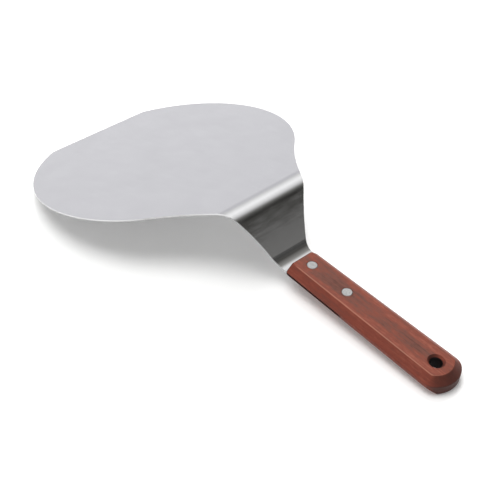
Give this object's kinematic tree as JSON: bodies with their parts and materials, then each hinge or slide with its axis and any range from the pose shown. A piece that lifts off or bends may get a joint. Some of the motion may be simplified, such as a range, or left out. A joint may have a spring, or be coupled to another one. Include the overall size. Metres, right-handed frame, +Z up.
{
  "type": "pizza peel",
  "caption": "Short pizza peel with a round stainless blade, straight front edge, cranked neck and a bevelled red hardwood handle held by flush rivets.",
  "frame": {"origin": "on the surface that the peel lies on, under the middle of its bounding box", "axes": "+X from the blade towards the rear end of the handle, +Y across the blade, +Z up; the peel lies bottom side up on the blade's front edge and the handle's rear end"},
  "size_m": [0.471, 0.254, 0.0646],
  "materials": {
    "stainless_sheet": "satin rolled and lightly brushed",
    "hardwood": "sanded and lightly oiled",
    "rivet_metal": "satin, ground flush"
  },
  "bodies": {
    "root": {"peel_sheet": "stainless_sheet", "handle": "hardwood", "front_rivet_tube": "rivet_metal", "front_rivet_pin": "rivet_metal", "rear_rivet_tube": "rivet_metal", "rear_rivet_pin": "rivet_metal"}
  },
  "joints": []
}
